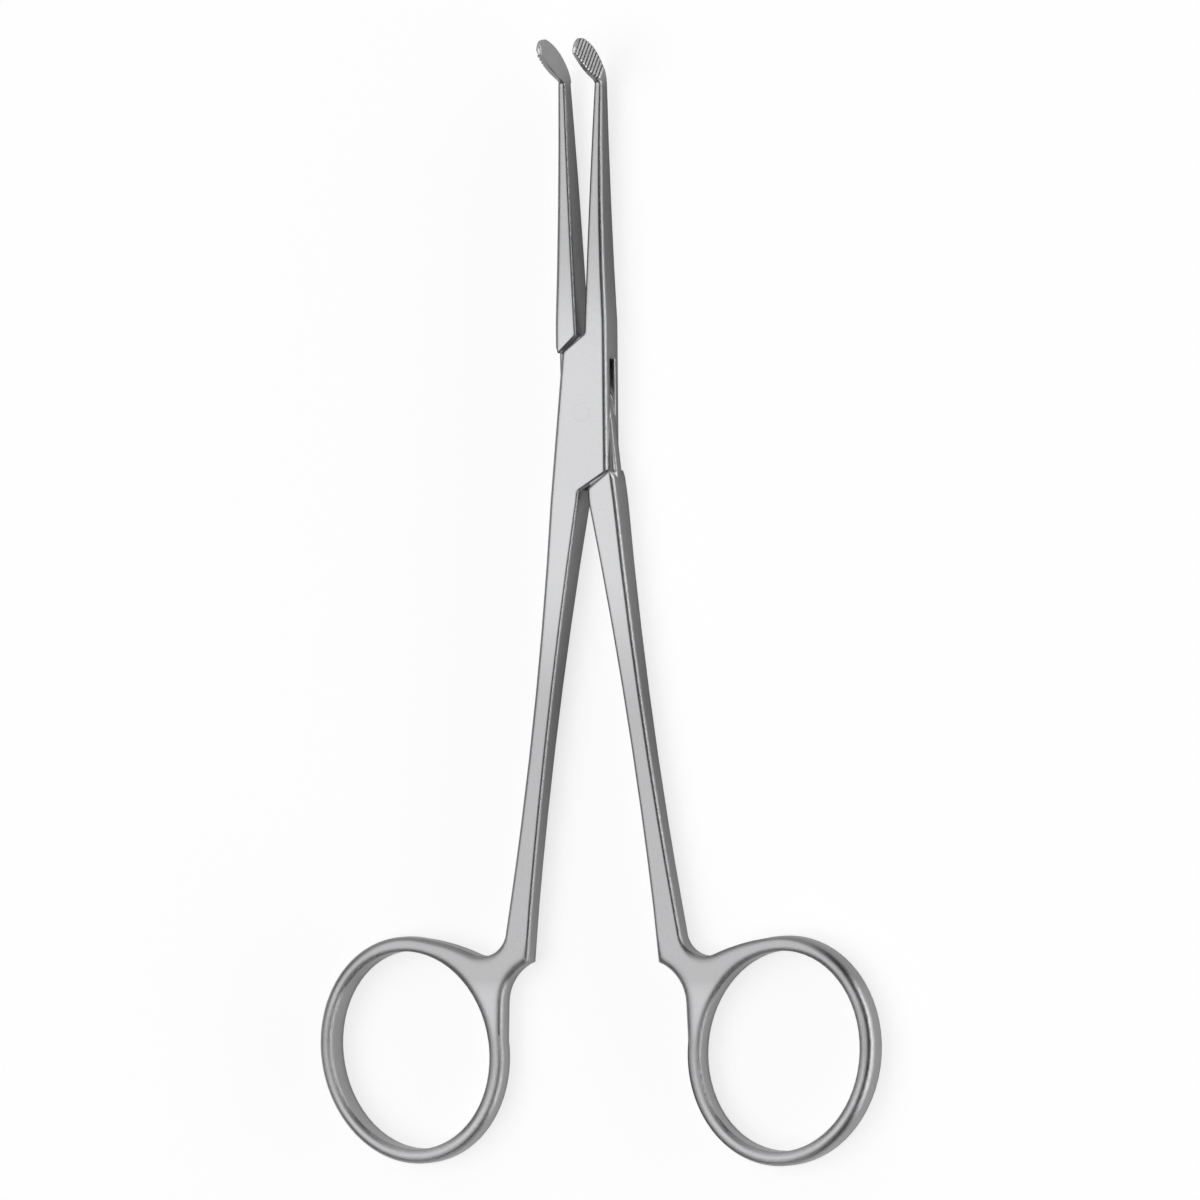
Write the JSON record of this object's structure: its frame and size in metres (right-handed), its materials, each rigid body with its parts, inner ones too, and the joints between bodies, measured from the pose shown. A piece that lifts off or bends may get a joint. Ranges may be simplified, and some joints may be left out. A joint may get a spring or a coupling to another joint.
{
  "type": "pylorus spreader",
  "caption": "Ring-handled steel spreader with a box joint: two long slim jaws end in leaf-shaped pads, bent up out of the jaws and serrated on their outer faces.",
  "frame": {"origin": "on the axis of the joint pin, on the flat underside of the box joint", "axes": "+Y from the finger rings to the tips, +X to the right seen from the front, +Z to the front, the side the pads are bent to; the rest pose is the slightly opened one of the picture, symmetric about the YZ plane"},
  "size_m": [0.0826, 0.1498, 0.0098],
  "materials": {
    "satin_steel": "satin, fine blasted grain",
    "pin_steel": "ground flush, satin"
  },
  "bodies": {
    "box_side": {"box_half": "satin_steel", "joint_pin": "pin_steel"},
    "tongue_side": {"tongue_half": "satin_steel"}
  },
  "joints": [
    {"name": "box_joint", "type": "hinge", "parent": "box_side", "child": "tongue_side", "pos_m": [0, 0, 0.0021], "axis": [0, 0, 1], "range_deg": [-5.4, 54.6]}
  ]
}
